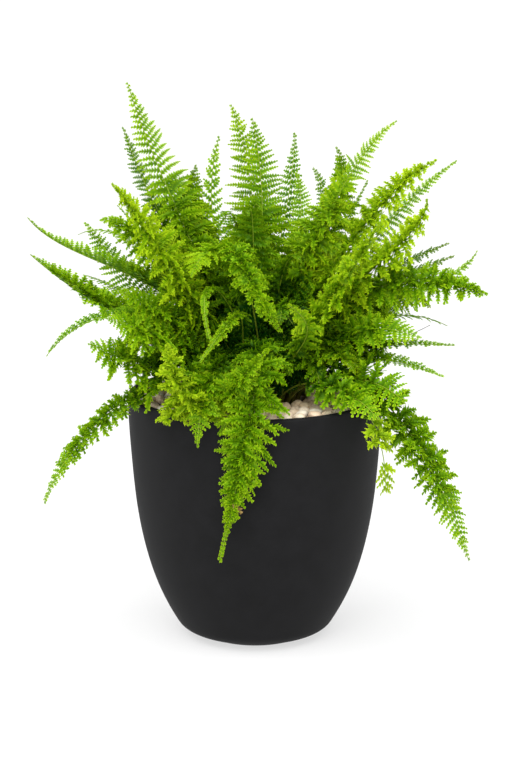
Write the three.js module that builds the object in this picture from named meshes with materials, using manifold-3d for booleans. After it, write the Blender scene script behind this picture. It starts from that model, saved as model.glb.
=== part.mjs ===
// A potted fern: a fibre clay planter with potting mix, a top dressing of pebbles, the fern's crown and
// its fronds. Millimetres, +Z up. The origin is the middle of the flat foot, and -Y is the front.
import * as THREE from 'three';
import { mergeVertices } from 'three/addons/utils/BufferGeometryUtils.js';
import Module from 'manifold-3d';

const wasm = await Module();
wasm.setup();

// ---- driving dimensions ----
const POT_HEIGHT = 293;
const POT_RADIUS = 149.8; // outside, at the rim
const FOOT_RADIUS = 57; // the flat that the planter stands on
const FOOT_TOP = new THREE.Vector2(92.7, 19.2); // where the rounded foot meets the wall
const POT_WALL = 9;
const POT_FLOOR = 14;
const LIP_ROUND = 3.5;
const POT_SIDES = 40;

const FIT = 0.3; // gap between pieces that touch
const SOIL_TOP = 269;
const CROWN_RADIUS = 52;
const CROWN_TOP = 292;
const CROWN_BOTTOM = 260;
const CROWN_FALL = 0.0055; // the crown drops by this times the radius squared

const DRESSING_BASE = 281; // top of the packed lowest pebbles
const PEBBLE_RINGS = [[67, 17], [88, 22], [108.5, 27], [127.5, 32]]; // radius, how many
const PEBBLE_HALF = [11, 9.4, 6.6]; // half length, width and height of a pebble

const STIPE = 1.3; // half width of a stem at its foot
const RACHIS_END = [0.5, 0.4]; // half width and half thickness of a rachis at the tip
const FOOT_DEPTH = 12; // how deep a stem stands in the crown
const FOOT_CLEAR = 0.4;
const FOOT_SPACING = 6.5;
const PINNA_PITCH = 26; // distance between leaflets along the rachis
const PINNA_SWEEP = 0.3; // leaflets lean towards the tip by this angle
const PINNA_LIFT = 0.08;
const PINNA_EDGE = 0.35; // half thickness of a leaflet at its point
const LEAF_GAP = 0.45; // leaflets are cut back until they clear others by this
const LEAF_STEPS = [1, 0.86, 0.72, 0.6, 0.48, 0.36, 0.26, 0.17, 0.1];

// Each frond: name, the tip's X, Y and Z, how far the stem rises before it leans, the height that it heads
// for, how far along that is, its sideways bow, half the width of the blade, its twist in degrees, its
// colour, and how ruffled it is: a ruffled blade stays wide for longer and ends bluntly.
const FRONDS = [
  // towards the viewer
  ['front_hanging', -40, -175, 136, 110, 440, 0.8, 65, 50, 0, 'mid', 1.1],
  ['front_left_hanging', -65, -165, 266, 90, 380, 0.8, 0, 34, 0, 'mid', 0.9],
  ['front_lime', -97, -155, 381, 20, 292, 1.25, 35, 32, 180, 'lime', 1.35],
  ['front_lime_low', -102, -148, 288, 25, 312, 0.8, 0, 30, 0, 'lime', 1.35],
  ['front_small', -62, -170, 364, 130, 440, 0.6, 45, 17, 0, 'fresh', 1.2],
  ['front_arching', 28, -150, 394, 190, 560, 0.6, -95, 30, 0, 'mid', 1.3],
  ['front_curled', 37, -160, 426, 60, 385, 0.9, 60, 20, 0, 'fresh', 1.3],
  ['front_right_low', 168, -150, 312, 50, 338, 0.65, 25, 42, 45, 'mid', 0.8],
  ['front_right_tip', 138, -160, 296, 50, 335, 0.6, 10, 28, 35, 'mid', 0.9],
  ['front_right_lime', 147, -152, 211, 60, 350, 1, 0, 26, 0, 'lime', 1],
  ['front_left_bright', -72, -125, 452, 150, 520, 0.6, 0, 40, 0, 'mid', 1],
  ['front_left', -152, -130, 437, 60, 405, 0.6, 0, 42, -45, 'mid', 1],
  ['front_left_low', -165, -150, 410, 50, 380, 0.6, 0, 42, -45, 'mid', 1],
  ['front_right', 139, -140, 516, 60, 420, 0.6, 0, 38, 35, 'fresh', 1.15],
  // on the left
  ['left_hanging', -240, -120, 190, 75, 295, 0.8, 0, 21, -40, 'mid', 0.9],
  ['left_drooping', -237, -90, 354, 100, 440, 0.7, 0, 17, -20, 'mid', 0.6],
  ['left_low', -187, -120, 375, 35, 350, 0.8, 0, 40, -45, 'mid', 1],
  ['left_bright', -158, -140, 559, 70, 505, 0.75, 0, 44, -45, 'fresh', 1],
  ['left_long', -256, -60, 466, 60, 365, 0.6, 0, 30, -30, 'mid', 0.9],
  ['left_arched', -178, -20, 500, 90, 505, 0.75, 0, 34, -45, 'mid', 0.9],
  ['left_long_high', -265, 20, 496, 155, 430, 0.8, 0, 25, -10, 'mid', 0.6],
  ['left_tall', -148, 40, 651, 100, 530, 0.75, 0, 44, -55, 'fresh', 0.75],
  ['left_tall_back', -155, 70, 595, 110, 460, 0.65, 0, 30, -15, 'dark', 0.5],
  ['left_comb', -200, 60, 484, 50, 410, 0.7, 0, 34, -40, 'mid', 0.4],
  ['left_back_low', -206, 100, 414, 50, 405, 0.7, 0, 26, 0, 'dark', 0.4],
  ['left_back_thin', -164, 90, 500, 110, 440, 0.6, 0, 20, 0, 'dark', 0.1],
  ['left_inner', -69, 70, 550, 70, 460, 1.5, 0, 34, -20, 'mid', 0.7],
  // on the right
  ['right_hanging', 245, -110, 118, 90, 320, 0.68, 0, 34, 40, 'mid', 0.85],
  ['right_low', 213, -90, 330, 70, 355, 0.6, 0, 16, 20, 'mid', 0.6],
  ['right_lower', 186, -110, 379, 90, 400, 0.6, 0, 36, 40, 'mid', 0.9],
  ['right_straight', 228, -60, 360, 70, 362, 0.6, 0, 15, 20, 'mid', 0.6],
  ['right_comb', 202, -37, 400, 90, 458, 0.78, 0, 54, 80, 'fresh', 0.1],
  ['right_long', 264, -70, 421, 115, 460, 0.55, 0, 40, 30, 'mid', 1.4],
  ['right_upturned', 256, -20, 463, 125, 400, 0.85, 0, 32, 20, 'mid', 0.6],
  ['right_curled', 195, -70, 531, 130, 475, 1, 0, 36, 35, 'fresh', 1.3],
  ['right_tall', 162, -20, 613, 90, 585, 0.65, 0, 38, 35, 'fresh', 0.75],
  ['right_bright', 207, -30, 569, 80, 545, 0.65, 0, 33, 30, 'fresh', 1.3],
  ['right_arched', 236, 50, 558, 70, 505, 0.62, 0, 30, 25, 'mid', 0.2],
  ['right_back_high', 232, 110, 451, 110, 420, 0.6, 0, 32, -50, 'dark', 0.3],
  ['right_back', 237, 80, 441, 100, 410, 0.6, 0, 30, -50, 'dark', 0.4],
  ['right_back_thin', 135, 120, 525, 110, 430, 0.6, 0, 24, 0, 'dark', 0.1],
  ['right_inner', 96, 60, 573, 120, 480, 1.4, 0, 34, 20, 'mid', 0.8],
  // tall and upright, in the middle and at the back
  ['middle_tall', -3, 24, 611, 140, 480, 0.9, -25, 38, 10, 'mid', 0.85],
  ['back_tall', -28, 60, 623, 140, 500, 0.75, -40, 42, 0, 'fresh', 0.5],
  ['back_left', -43, 120, 577, 110, 460, 0.62, 50, 32, 0, 'mid', 0.3],
  ['back_thin', 48, 150, 578, 120, 470, 0.6, -15, 26, 0, 'dark', 0.3],
  ['back_right', 50, 110, 536, 120, 440, 0.6, -45, 28, 0, 'mid', 0.7],
  ['back_right_low', 69, 100, 544, 110, 470, 0.9, -70, 26, 0, 'dark', 0.7],
];
const LONG_TAILS = { // blades that narrow early to a long tip
  front_hanging: 2.8, right_tall: 1.2, left_tall: 1.2, left_long_high: 1.2,
  front_left_hanging: 1.6, left_hanging: 1.2, right_hanging: 1.2,
};
const REAR_FRONDS = 8; // the side that faces away, filled by a rule
const LEAF_COLOURS = { fresh: 0x7fa82a, mid: 0x5d8220, dark: 0x42611a, lime: 0x8fae34 };

// ---- small helpers ----
function seeded(seed) {
  return () => {
    seed = (seed + 0x6d2b79f5) | 0;
    let t = Math.imul(seed ^ (seed >>> 15), 1 | seed);
    t = (t + Math.imul(t ^ (t >>> 7), 61 | t)) ^ t;
    return ((t ^ (t >>> 14)) >>> 0) / 4294967296;
  };
}

function closed(corners, triangles) {
  const geometry = new THREE.BufferGeometry();
  geometry.setAttribute('position', new THREE.Float32BufferAttribute(corners, 3));
  geometry.setIndex(triangles);
  return geometry;
}

// A geometry with its shared corners merged, and without the slivers that a lathe leaves on its axis.
function welded(geometry) {
  geometry.deleteAttribute('normal');
  geometry.deleteAttribute('uv');
  const merged = mergeVertices(geometry, 1e-4);
  const index = Array.from(merged.index.array);
  const kept = [];
  for (let i = 0; i < index.length; i += 3) {
    const [a, b, c] = index.slice(i, i + 3);
    if (a !== b && b !== c && c !== a) kept.push(a, b, c);
  }
  merged.setIndex(kept);
  return merged;
}

function toSolid(geometry) {
  const mesh = welded(geometry);
  return new wasm.Manifold(new wasm.Mesh({
    numProp: 3,
    vertProperties: Float32Array.from(mesh.attributes.position.array),
    triVerts: Uint32Array.from(mesh.index.array),
  }));
}

function fromSolid(solid) {
  const mesh = solid.getMesh();
  return closed(Array.from(mesh.vertProperties), Array.from(mesh.triVerts));
}

// Turned about +Z from a profile of [radius, height] points that starts and ends on the axis or closes.
function turned(profile, sides) {
  const geometry = new THREE.LatheGeometry(profile.map((p) => new THREE.Vector2(p.x, p.y)), sides);
  return welded(geometry.rotateX(Math.PI / 2));
}

const v2 = (x, y) => new THREE.Vector2(x, y);

function piece(name, geometry, colour, roughness) {
  const material = new THREE.MeshStandardMaterial({ color: colour, roughness, metalness: 0 });
  material.name = name + '_material';
  const mesh = new THREE.Mesh(geometry, material);
  mesh.name = name;
  return mesh;
}

// ---- the planter ----
// One wall curve gives the outside, the inside at POT_WALL from it, and the potting mix at FIT from that.
function wallCurve(inset, top, steps = 7) {
  return new THREE.CubicBezierCurve(
    v2(FOOT_TOP.x - inset, FOOT_TOP.y),
    v2(129.4 - inset, 78.4),
    v2(143.7 - inset, 139),
    v2(POT_RADIUS - inset, top),
  ).getPoints(steps);
}

function makePot() {
  const foot = new THREE.CubicBezierCurve(
    v2(FOOT_RADIUS, 0), v2(67.3, 5.6), v2(84.6, 6.1), FOOT_TOP,
  ).getPoints(4);
  const shoulder = POT_HEIGHT - LIP_ROUND;
  const lip = [
    v2(POT_RADIUS - LIP_ROUND * 0.3, POT_HEIGHT - LIP_ROUND * 0.3),
    v2(POT_RADIUS - LIP_ROUND, POT_HEIGHT),
    v2(POT_RADIUS - POT_WALL + LIP_ROUND, POT_HEIGHT),
    v2(POT_RADIUS - POT_WALL + LIP_ROUND * 0.3, POT_HEIGHT - LIP_ROUND * 0.3),
  ];
  const inside = wallCurve(POT_WALL, shoulder).reverse();
  const floor = [v2(FOOT_TOP.x - POT_WALL - 4, POT_FLOOR), v2(0, POT_FLOOR)];
  const outside = wallCurve(0, shoulder).slice(1);
  return turned([v2(0, 0), ...foot, ...outside, ...lip, ...inside, ...floor], POT_SIDES);
}

function innerRadius(height) {
  const wall = wallCurve(POT_WALL, POT_HEIGHT - LIP_ROUND);
  const above = wall.findIndex((p) => p.y >= height);
  const [low, high] = [wall[above - 1], wall[above]];
  return low.x + ((high.x - low.x) * (height - low.y)) / (high.y - low.y);
}

// ---- the potting mix, with a shallow seat for the crown ----
function makeSoil() {
  const wall = wallCurve(POT_WALL + 1.3 * FIT, POT_HEIGHT - LIP_ROUND).filter((p) => p.y < SOIL_TOP);
  return turned([
    v2(0, POT_FLOOR + FIT),
    v2(FOOT_TOP.x - POT_WALL - 4 - FIT, POT_FLOOR + FIT),
    ...wall,
    v2(innerRadius(SOIL_TOP) - FIT, SOIL_TOP),
    v2(CROWN_RADIUS + FIT, SOIL_TOP),
    v2(CROWN_RADIUS + FIT, CROWN_BOTTOM),
    v2(0, CROWN_BOTTOM),
  ], POT_SIDES);
}

// ---- the pebbles: a packed lowest layer and the stones that show, joined into one ring ----
function makePebbles() {
  const random = seeded(7);
  const outer = innerRadius(SOIL_TOP) - FIT;
  const low = SOIL_TOP + FIT;
  const base = turned([
    v2(CROWN_RADIUS + 2, low), v2(outer - 0.1, low), v2(outer - 0.1, DRESSING_BASE),
    v2(CROWN_RADIUS + 2, DRESSING_BASE), v2(CROWN_RADIUS + 2, low),
  ], POT_SIDES);
  let ring = toSolid(base);
  for (const [radius, count] of PEBBLE_RINGS) {
    for (let i = 0; i < count; i += 1) {
      const angle = (i + 0.35 * (random() - 0.5)) * ((2 * Math.PI) / count);
      const atWall = radius > 120;
      const reach = radius + (atWall ? 0.6 : 3) * (random() - 0.5);
      const stone = new THREE.IcosahedronGeometry(1, 0);
      stone.rotateX(random() * 3).rotateZ(random() * 3);
      stone.scale(PEBBLE_HALF[0] * (0.84 + 0.16 * random()), PEBBLE_HALF[1], PEBBLE_HALF[2]);
      stone.rotateZ(atWall ? angle + Math.PI / 2 : random() * Math.PI);
      stone.translate(reach * Math.cos(angle), reach * Math.sin(angle), DRESSING_BASE + 1 + 4 * random());
      ring = ring.add(toSolid(stone));
    }
  }
  return ring;
}

// ---- the fronds ----
const crownHeight = (radius) => CROWN_TOP - CROWN_FALL * radius * radius;

// The fronds that the viewer doesn't see: spread over the far side, long and short by turns.
function rearFronds() {
  const rows = [];
  for (let i = 0; i < REAR_FRONDS; i += 1) {
    const angle = ((14 + (152 * i) / (REAR_FRONDS - 1)) * Math.PI) / 180;
    const [reach, tip] = [[235, 360], [215, 470], [240, 300]][i % 3];
    rows.push(['rear_' + (i + 1), reach * Math.cos(angle), reach * Math.sin(angle), tip,
      70, tip + 40, 0.62, 0, 28, 0, i % 2 ? 'mid' : 'dark', 0.6]);
  }
  return rows;
}

// Feet lie on the crown towards their own tips, flatter fronds further out, and push each other apart.
function feetOf(rows) {
  const feet = rows.map(([, x, y, z]) => {
    const lean = Math.atan2(Math.hypot(x, y), z - CROWN_TOP + 8);
    return v2(x, y).setLength(6 + 30 * Math.min(1, lean / 1.6));
  });
  for (let round = 0; round < 60; round += 1) {
    for (let i = 0; i < feet.length; i += 1) {
      for (let j = i + 1; j < feet.length; j += 1) {
        const apart = feet[j].clone().sub(feet[i]);
        const short = (FOOT_SPACING - apart.length()) / 2;
        if (short > 0) {
          apart.setLength(short);
          feet[i].sub(apart);
          feet[j].add(apart);
        }
      }
    }
  }
  return feet;
}

// The stations of one frond, from the foot in the crown to the tip. Each has a middle, a side and an up.
function stationsOf([, x, y, z, rise, crest, along, sway, , roll], foot) {
  const start = new THREE.Vector3(foot.x, foot.y, crownHeight(foot.length()) + 1.5);
  const tip = new THREE.Vector3(x, y, z);
  const out = tip.clone().sub(start).setZ(0);
  const across = new THREE.Vector3(-out.y, out.x, 0).normalize();
  const curve = new THREE.CubicBezierCurve3(
    start,
    start.clone().addScaledVector(out, 0.15).add(new THREE.Vector3(0, 0, rise)),
    start.clone().addScaledVector(out, along).addScaledVector(across, sway).setZ(crest),
    tip,
  );
  const length = curve.getLength();
  const bare = Math.min(0.3, 60 / length);
  const pairs = THREE.MathUtils.clamp(Math.round(((1 - bare) * length) / PINNA_PITCH), 7, 12);
  const places = [];
  for (let i = 0; i < 3; i += 1) places.push((bare * i) / 3);
  for (let i = 0; i <= pairs; i += 1) places.push(bare + (0.95 - bare) * (i / pairs));
  const stations = places.map((at) => {
    const middle = curve.getPointAt(at);
    const ahead = curve.getTangentAt(at);
    const flat = across.clone().addScaledVector(ahead, -across.dot(ahead)).normalize();
    const side = flat.applyAxisAngle(ahead, THREE.MathUtils.degToRad(roll) * Math.min(1, at / 0.35));
    return { at, middle, ahead, side, up: ahead.clone().cross(side),
      wide: THREE.MathUtils.lerp(STIPE, RACHIS_END[0], at),
      thick: THREE.MathUtils.lerp(STIPE, RACHIS_END[1], at) };
  });
  const buried = start.clone().setZ(start.z - 1.5 - FOOT_DEPTH);
  const upright = { at: 0, ahead: new THREE.Vector3(0, 0, 1), side: across, wide: STIPE, thick: STIPE };
  upright.up = upright.ahead.clone().cross(across);
  stations[0] = { ...upright, middle: start };
  stations.unshift({ ...upright, middle: buried });
  return { stations, tip, bare, blade: 4, pairs };
}

// Half the width of the blade at a place along the rachis.
function bladeWidth(at, { bare, half, ruffle, tail }) {
  const along = THREE.MathUtils.clamp((at - bare) / (1 - bare), 0, 1);
  return half * Math.min(1, 3.5 * along) ** 0.8 * (1 - along ** (1.7 + 2.3 * ruffle)) ** tail;
}

function corner(station, side, up) {
  return station.middle.clone()
    .addScaledVector(station.side, side * station.wide)
    .addScaledVector(station.up, up * station.thick);
}

// A leaflet is a thin wedge from the rachis to a point.
function leafletOf(frond, i, side, scale) {
  const [from, to] = [frond.stations[i], frond.stations[i + 1]];
  const reach = scale * bladeWidth((from.at + to.at) / 2, frond);
  const point = from.middle.clone().add(to.middle).multiplyScalar(0.5)
    .addScaledVector(to.side, side * (reach * Math.cos(PINNA_SWEEP) + to.wide))
    .addScaledVector(to.ahead, reach * Math.sin(PINNA_SWEEP))
    .addScaledVector(to.up, reach * PINNA_LIFT);
  return { corners: [corner(from, side, 0), corner(to, side, 0), point], thick: from.thick, frond };
}

// ---- keeping leaflets clear of each other, the stems and the pot ----
function obstacle({ corners, thick, frond }) {
  const lines = corners.length === 2
    ? [new THREE.Line3(...corners)]
    : [0, 1, 2].map((i) => new THREE.Line3(corners[i], corners[(i + 1) % 3]));
  const face = corners.length === 3 ? new THREE.Triangle(...corners) : null;
  const box = new THREE.Box3().setFromPoints(corners).expandByScalar(thick + 1);
  return { corners, lines, face, thick, frond, box };
}

const spot = new THREE.Vector3();
const ray = new THREE.Ray();

function nearerThan(a, b, reach) {
  if (!a.box.intersectsBox(b.box)) return false;
  for (const p of a.lines) for (const q of b.lines) if (p.distanceSqToLine3(q) < reach * reach) return true;
  for (const [one, other] of [[a, b], [b, a]]) {
    if (!other.face) continue;
    for (const p of one.corners) {
      if (other.face.closestPointToPoint(p, spot).distanceTo(p) < reach) return true;
    }
    for (const line of one.lines) {
      ray.set(line.start, line.delta(new THREE.Vector3()).normalize());
      const hit = ray.intersectTriangle(...other.corners, false, spot);
      if (hit && hit.distanceTo(line.start) < line.distance()) return true;
    }
  }
  return false;
}

// Leaflets stay out of a drum around the rim and the pebbles.
function hitsPot({ face }) {
  for (let i = 0; i <= 6; i += 1) {
    for (let j = 0; j <= 6 - i; j += 1) {
      const p = spot.set(0, 0, 0).addScaledVector(face.a, i / 6).addScaledVector(face.b, j / 6)
        .addScaledVector(face.c, 1 - (i + j) / 6);
      if (p.z < POT_HEIGHT + 3 && Math.hypot(p.x, p.y) < POT_RADIUS + 3) return true;
    }
  }
  return false;
}

function growLeaflets(fronds) {
  const taken = [];
  for (const frond of fronds) {
    for (let i = 0; i + 1 < frond.stations.length; i += 1) {
      const [a, b] = [frond.stations[i], frond.stations[i + 1]];
      taken.push(obstacle({ corners: [a.middle, b.middle], thick: a.thick * 1.42, frond }));
    }
    const last = frond.stations[frond.stations.length - 1];
    taken.push(obstacle({ corners: [last.middle, frond.tip], thick: last.thick * 1.42, frond }));
  }
  for (const frond of fronds) {
    frond.leaflets = new Map();
    for (let i = frond.blade; i + 1 < frond.stations.length; i += 1) {
      for (const side of [-1, 1]) {
        for (const scale of LEAF_STEPS) {
          const leaflet = leafletOf(frond, i, side, scale);
          const shape = obstacle(leaflet);
          const blocked = hitsPot(shape) || taken.some((other) => other.frond !== frond
            && nearerThan(shape, other, shape.thick + other.thick + LEAF_GAP));
          if (blocked) continue;
          taken.push(shape);
          frond.leaflets.set(i * side, leaflet);
          break;
        }
      }
    }
  }
}

// One closed skin: four corners at each station, a wedge for each leaflet, a flat foot and a point.
function frondGeometry(frond) {
  const corners = [];
  const triangles = [];
  const add = (p) => corners.push(p.x, p.y, p.z) / 3 - 1;
  const quad = (a, b, c, d) => triangles.push(a, b, c, a, c, d);
  const facing = (side, list) => (side === 1 ? list : list.reverse());
  const rings = frond.stations.map((s) => ({
    [-1]: [add(corner(s, -1, -1)), add(corner(s, -1, 1))],
    [1]: [add(corner(s, 1, -1)), add(corner(s, 1, 1))],
  }));
  for (let i = 0; i + 1 < rings.length; i += 1) {
    const [from, to] = [rings[i], rings[i + 1]];
    quad(from[1][1], from[-1][1], to[-1][1], to[1][1]);
    quad(from[-1][0], from[1][0], to[1][0], to[-1][0]);
    for (const side of [-1, 1]) {
      const [low0, high0, low1, high1] = [...from[side], ...to[side]];
      const leaflet = frond.leaflets.get(i * side);
      if (!leaflet) {
        quad(...facing(side, [low0, high0, high1, low1]));
        continue;
      }
      const { up } = frond.stations[i + 1];
      const [, , point] = leaflet.corners;
      const low = add(point.clone().addScaledVector(up, -PINNA_EDGE));
      const high = add(point.clone().addScaledVector(up, PINNA_EDGE));
      triangles.push(...facing(side, [high0, high1, high]));
      triangles.push(...facing(side, [low0, low, low1]));
      quad(...facing(side, [low0, high0, high, low]));
      quad(...facing(side, [low1, low, high, high1]));
    }
  }
  const foot = rings[0];
  quad(foot[-1][1], foot[1][1], foot[1][0], foot[-1][0]);
  const last = rings[rings.length - 1];
  const end = frond.stations[rings.length - 1];
  const tip = [-1, 1].map((up) => add(frond.tip.clone().addScaledVector(end.up, up * 0.32)));
  triangles.push(last[1][1], last[-1][1], tip[1]);
  triangles.push(last[-1][0], last[1][0], tip[0]);
  quad(last[1][1], tip[1], tip[0], last[1][0]);
  quad(last[-1][0], tip[0], tip[1], last[-1][1]);
  return closed(corners, triangles);
}

// ---- the crown, a low dome with a square hole for each stem ----
function makeCrown(fronds) {
  const rings = 4;
  const dome = [v2(0, CROWN_BOTTOM + FIT), v2(CROWN_RADIUS, CROWN_BOTTOM + FIT)];
  for (let i = rings; i >= 0; i -= 1) {
    const radius = (CROWN_RADIUS * i) / rings;
    dome.push(v2(radius, crownHeight(radius)));
  }
  let crown = toSolid(turned(dome, 20));
  const size = 2 * (STIPE + FOOT_CLEAR);
  for (const { stations } of fronds) {
    const [foot] = stations;
    const hole = new THREE.BoxGeometry(size, size, 40);
    hole.rotateZ(Math.atan2(foot.side.y, foot.side.x));
    hole.translate(foot.middle.x, foot.middle.y, foot.middle.z - FOOT_CLEAR + 20);
    crown = crown.subtract(toSolid(hole));
  }
  return fromSolid(crown);
}

// ---- the whole plant ----
const rows = [...FRONDS, ...rearFronds()];
const feet = feetOf(rows);
const fronds = rows.map((row, i) => ({
  name: row[0], half: row[8], colour: LEAF_COLOURS[row[10]], ruffle: row[11], tail: LONG_TAILS[row[0]] ?? 1,
  ...stationsOf(row, feet[i]),
}));
growLeaflets(fronds);

const fern = new THREE.Group();
fern.name = 'potted_fern';
fern.add(piece('pot', makePot(), 0x2b2b2c, 0.75));
fern.add(piece('soil', makeSoil(), 0x2e2118, 1));
fern.add(piece('pebbles', fromSolid(makePebbles()), 0xc7b598, 0.7));
fern.add(piece('crown', makeCrown(fronds), 0x4a3320, 0.95));
for (const frond of fronds) fern.add(piece(frond.name, frondGeometry(frond), frond.colour, 0.55));

export default fern;
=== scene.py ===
# A bushy potted fern in a matt black planter with a pebble top dressing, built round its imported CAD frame.
# Metres, +Z up, -Y to the front. MM turns millimetres into metres. The fronds are worked out in
# millimetres, as the frame was drawn, and turned into metres when their meshes are made.
import math
import random
import bmesh
import bpy
import numpy as np
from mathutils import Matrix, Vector, noise


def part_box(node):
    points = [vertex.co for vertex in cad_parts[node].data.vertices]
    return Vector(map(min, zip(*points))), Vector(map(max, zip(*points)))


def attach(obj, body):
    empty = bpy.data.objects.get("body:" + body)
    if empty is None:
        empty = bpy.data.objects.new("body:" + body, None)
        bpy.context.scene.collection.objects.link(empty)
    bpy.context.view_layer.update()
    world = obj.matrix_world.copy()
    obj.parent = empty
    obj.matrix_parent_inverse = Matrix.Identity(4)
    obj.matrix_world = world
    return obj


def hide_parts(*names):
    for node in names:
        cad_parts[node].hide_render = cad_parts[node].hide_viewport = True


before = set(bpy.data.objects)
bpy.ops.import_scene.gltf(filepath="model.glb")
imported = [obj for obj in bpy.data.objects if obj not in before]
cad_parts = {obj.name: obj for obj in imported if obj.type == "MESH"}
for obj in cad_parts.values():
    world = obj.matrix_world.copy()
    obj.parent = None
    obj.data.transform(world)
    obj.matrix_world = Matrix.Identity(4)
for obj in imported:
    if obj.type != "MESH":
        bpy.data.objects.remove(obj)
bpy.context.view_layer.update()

# --- The studio ---------------------------------------------------------------------------------
# An opal white sheet that runs out of sight and is lit from below, so that shadows on it stay pale. A
# broad soft light hangs overhead, with soft boxes in front and at the sides and white walls all round.
MM = 0.001


def linear(hex_colour):
    """A colour written as sRGB hex, as the linear RGBA that the shaders take."""
    channels = [int(hex_colour[i:i + 2], 16) / 255 for i in (1, 3, 5)]
    return tuple(c / 12.92 if c <= 0.04045 else ((c + 0.055) / 1.055) ** 2.4 for c in channels) + (1.0,)


def add_node(tree, kind, settings=(), links=()):
    """Adds a node, sets its properties and sockets by name, and links sockets to its inputs."""
    node = tree.nodes.new(kind)
    for key, value in dict(settings).items():
        if hasattr(node, key):
            setattr(node, key, value)
        else:
            node.inputs[key].default_value = value
    for key, source in dict(links).items():
        tree.links.new(source, node.inputs[key])
    return node


def new_material(name):
    """A node material, its empty tree, and the tree's output node."""
    material = bpy.data.materials.new(name)
    material.use_nodes = True
    material.node_tree.nodes.clear()
    return material, material.node_tree, material.node_tree.nodes.new("ShaderNodeOutputMaterial")


def add_surface(tree, output, settings, links=()):
    """The material's surface, a Principled shader with these settings and links."""
    shader = add_node(tree, "ShaderNodeBsdfPrincipled", settings, links)
    tree.links.new(shader.outputs["BSDF"], output.inputs["Surface"])


def mesh_piece(name, points, faces, materials, smooth=True):
    """A new object at the origin with this mesh and these materials."""
    mesh = bpy.data.meshes.new(name)
    mesh.from_pydata(np.asarray(points).tolist(), [], faces)
    mesh.update()
    if smooth:
        mesh.shade_smooth()
    piece = bpy.data.objects.new(name, mesh)
    scene.collection.objects.link(piece)
    for material in materials:
        mesh.materials.append(material)
    return piece


scene = bpy.context.scene
FLOOR_HALF = 40.0
FLOOR_CORNERS = ((-1, -1), (1, -1), (1, 1), (-1, 1))
opal_sheet, tree, output = new_material("opal sheet, lit from below")
# a flat white without sheen, whose own glow keeps every shadow on it pale
add_surface(tree, output, {"Base Color": linear("#959595"), "Roughness": 1.0, "Specular IOR Level": 0.0,
                           "Emission Color": linear("#ffffff"), "Emission Strength": 0.65})
floor_points = [(x * FLOOR_HALF, y * FLOOR_HALF, 0) for x, y in FLOOR_CORNERS]
floor = mesh_piece("studio_floor", floor_points, [(0, 1, 2, 3)], [opal_sheet], False)

world = bpy.data.worlds.new("white studio walls")
world.use_nodes = True
scene.world = world
walls = world.node_tree.nodes["Background"]
walls.inputs["Color"].default_value = linear("#ffffff")
walls.inputs["Strength"].default_value = 0.22


def add_light(name, kind, place, aim, energy, **settings):
    """A lamp at a place, pointed at another."""
    lamp = bpy.data.lights.new(name, kind)
    lamp.energy = energy
    for key, value in settings.items():
        setattr(lamp, key, value)
    holder = bpy.data.objects.new(name, lamp)
    holder.location = place
    holder.rotation_euler = (Vector(aim) - Vector(place)).to_track_quat("-Z", "Y").to_euler()
    scene.collection.objects.link(holder)


PLANT_MIDDLE = (0.0, 0.0, 0.42)
ABOVE_RIM = (0.0, 0.0, 0.35)
SIDE_BOX_OUT = 1.7
add_light("overhead soft light", "SUN", (-0.05, -0.8, 3.0), PLANT_MIDDLE, 3.9, angle=math.radians(70))
add_light("front soft box", "AREA", (-0.3, -2.6, 1.7), PLANT_MIDDLE, 45,
          shape="RECTANGLE", size=2.0, size_y=1.2)
for hand, out in (("left", -SIDE_BOX_OUT), ("right", SIDE_BOX_OUT)):
    add_light(hand + " soft box", "AREA", (out, 0.25, 0.75), ABOVE_RIM, 8,
              shape="RECTANGLE", size=0.6, size_y=1.5)

# The view: a little above the rim, on the plant's middle line, far off with a long lens.
CAMERA_PLACE = Vector((0.001, -3.2, 1.0024))
CAMERA_AIM = Vector((0.001, 0.0, 0.3019))
FILM_WIDTH = 36  # mm
LENS = 131.13  # mm
camera = bpy.data.objects.new("camera", bpy.data.cameras.new("camera"))
camera.data.sensor_width = FILM_WIDTH
camera.data.lens = LENS
camera.location = CAMERA_PLACE
camera.rotation_euler = (CAMERA_AIM - CAMERA_PLACE).to_track_quat("-Z", "Y").to_euler()
scene.collection.objects.link(camera)
scene.camera = camera
scene.view_settings.view_transform = "Standard"
scene.view_settings.look = "None"

# --- The planter --------------------------------------------------------------------------------
# A tall egg-shaped pot of fibre clay, pressed by hand into a mould, rubbed down and stained black.
# Its wall swells from a small flat foot to the rim, which is rounded over and not quite even.
pot_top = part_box("pot")[1]
POT_HEIGHT = pot_top.z
POT_RADIUS = pot_top.x
POT_WALL = 9 * MM
POT_FLOOR = 14 * MM
FLOOR_RADIUS = 79 * MM
HUB_RADIUS = 4 * MM  # the small rings that close the foot and the floor
FOOT_RADII = (40 * MM, 57 * MM)  # across the flat foot, and out to where it starts to round up
FOOT_PULLS = np.array(((67.3, 5.6), (84.6, 6.1))) * MM
FOOT_TOP = np.array((92.7, 19.2)) * MM  # where the rounded foot meets the wall
WALL_PULLS = np.array(((129.4, 78.4), (143.7, 139))) * MM
LIP_ROUND = 3.5 * MM
POT_SIDES = 192


def cubic(a, b, c, d, steps):
    """Points on a cubic curve through a and d, pulled towards b and c."""
    t = np.linspace(0, 1, steps)[:, None]
    a, b, c, d = (np.array(p, float) for p in (a, b, c, d))
    return (1 - t) ** 3 * a + 3 * (1 - t) ** 2 * t * b + 3 * (1 - t) * t ** 2 * c + t ** 3 * d


def pot_wall(inset, top, steps):
    """The wall's line from the foot to the rim, as radius and height."""
    return cubic(FOOT_TOP, *WALL_PULLS, (POT_RADIUS, top), steps) - (inset, 0)


def quarter(centre, radius, start, steps):
    """A quarter circle in the plane of radius and height, from an angle in degrees."""
    turn = np.radians(np.linspace(start, start + 90, steps))
    return np.stack([centre[0] + radius * np.cos(turn), centre[1] + radius * np.sin(turn)], 1)


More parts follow.
